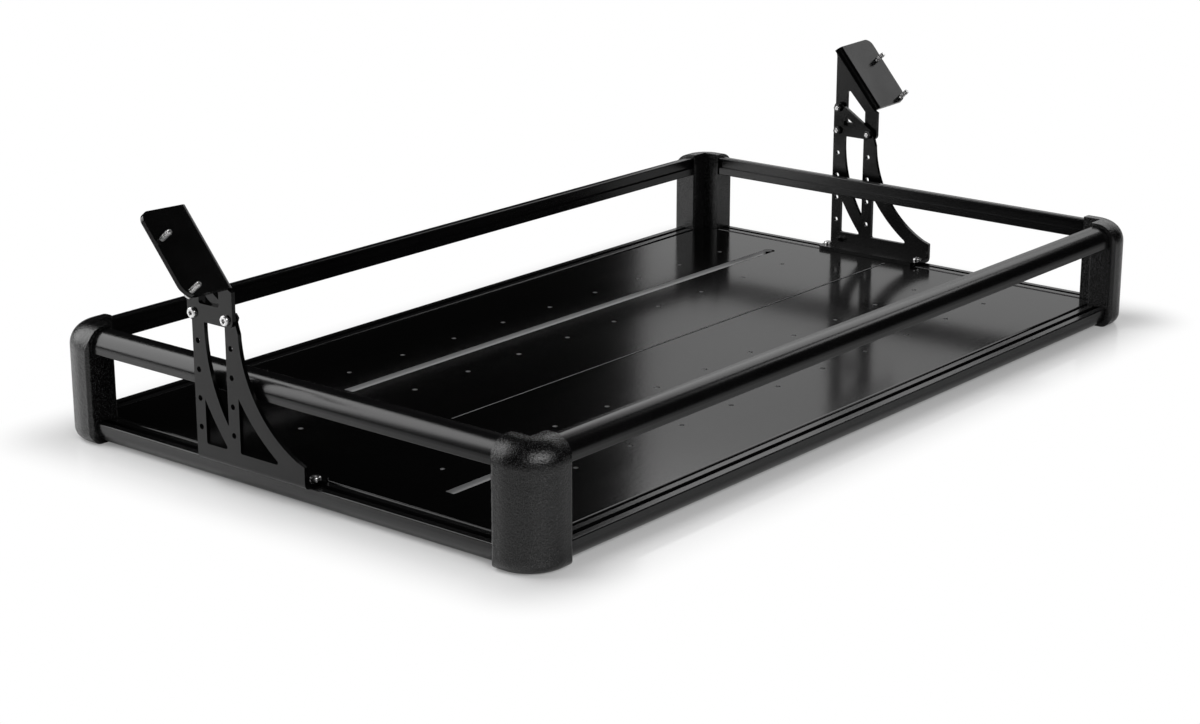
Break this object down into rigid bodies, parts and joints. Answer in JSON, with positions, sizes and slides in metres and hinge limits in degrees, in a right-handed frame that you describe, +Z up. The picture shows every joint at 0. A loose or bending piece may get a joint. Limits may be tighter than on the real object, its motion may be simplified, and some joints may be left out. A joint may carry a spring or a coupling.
{
  "type": "rear cargo rack",
  "caption": "Low rectangular railed cargo tray with a gloss deck, cast corners and a slotted-rail frame, hung from two bolted support arms with studded pillar brackets.",
  "frame": {"origin": "centre of the rack at the level of the castings' undersides, where it stands on a floor", "axes": "+Z up, X along the long side with the two support arms at its ends, +Y towards the rear long side that the arms' upright edges face"},
  "size_m": [1.0682, 0.5656, 0.2466],
  "materials": {
    "cast_coat": "coarse textured black powder coat",
    "rail_coat": "satin black anodised or coated aluminium",
    "deck_coat": "smooth gloss black coat",
    "plate_coat": "fine black powder coat",
    "fastener": "bright stainless steel"
  },
  "bodies": {
    "root": {"bottom_rail_front": "rail_coat", "bottom_rail_left": "rail_coat", "bottom_rail_rear": "rail_coat", "bottom_rail_right": "rail_coat", "bracket_nut_left_1": "fastener", "bracket_nut_left_2": "fastener", "bracket_nut_left_3": "fastener", "bracket_nut_right_1": "fastener", "bracket_nut_right_2": "fastener", "bracket_nut_right_3": "fastener", "bracket_screw_left_1": "fastener", "bracket_screw_left_2": "fastener", "bracket_screw_left_3": "fastener", "bracket_screw_right_1": "fastener", "bracket_screw_right_2": "fastener", "bracket_screw_right_3": "fastener", "bracket_stud_left_1": "fastener", "bracket_stud_left_2": "fastener", "bracket_stud_right_1": "fastener", "bracket_stud_right_2": "fastener", "corner_casting_front_left": "cast_coat", "corner_casting_front_right": "cast_coat", "corner_casting_rear_left": "cast_coat", "corner_casting_rear_right": "cast_coat", "deck_panel": "deck_coat", "foot_bolt_left_front": "fastener", "foot_bolt_left_rear": "fastener", "foot_bolt_right_front": "fastener", "foot_bolt_right_rear": "fastener", "pillar_bracket_left": "plate_coat", "pillar_bracket_right": "plate_coat", "slot_nut_left_front": "fastener", "slot_nut_left_rear": "fastener", "slot_nut_right_front": "fastener", "slot_nut_right_rear": "fastener", "support_arm_left": "plate_coat", "support_arm_right": "plate_coat", "top_rail_front": "rail_coat", "top_rail_left": "rail_coat", "top_rail_rear": "rail_coat", "top_rail_right": "rail_coat"}
  },
  "joints": []
}
